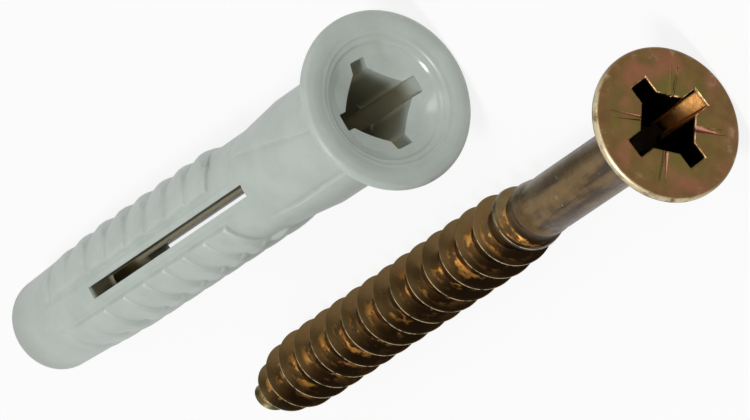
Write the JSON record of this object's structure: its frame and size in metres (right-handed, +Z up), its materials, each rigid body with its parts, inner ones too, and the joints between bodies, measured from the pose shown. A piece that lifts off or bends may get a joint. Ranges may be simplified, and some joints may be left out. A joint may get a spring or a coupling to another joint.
{
  "type": "wall plug with screw",
  "caption": "Ribbed nylon wall plug with a rimmed mouth and expansion slot, beside its countersunk wood-threaded screw with a cross recess; the screw spreads the plug in a drilled hole.",
  "frame": {"origin": "middle of the footprint of the two pieces, on the floor they lie on", "axes": "+Z up, +Y towards the plug's nose and the screw's tip, +X from the screw towards the plug"},
  "size_m": [0.023, 0.0796, 0.0126],
  "materials": {
    "plug_nylon": "light grey moulded nylon, softly shining",
    "plated_steel": "steel with a worn, iridescent yellow plating"
  },
  "bodies": {
    "root": {"wall_plug": "plug_nylon", "screw": "plated_steel"}
  },
  "joints": []
}
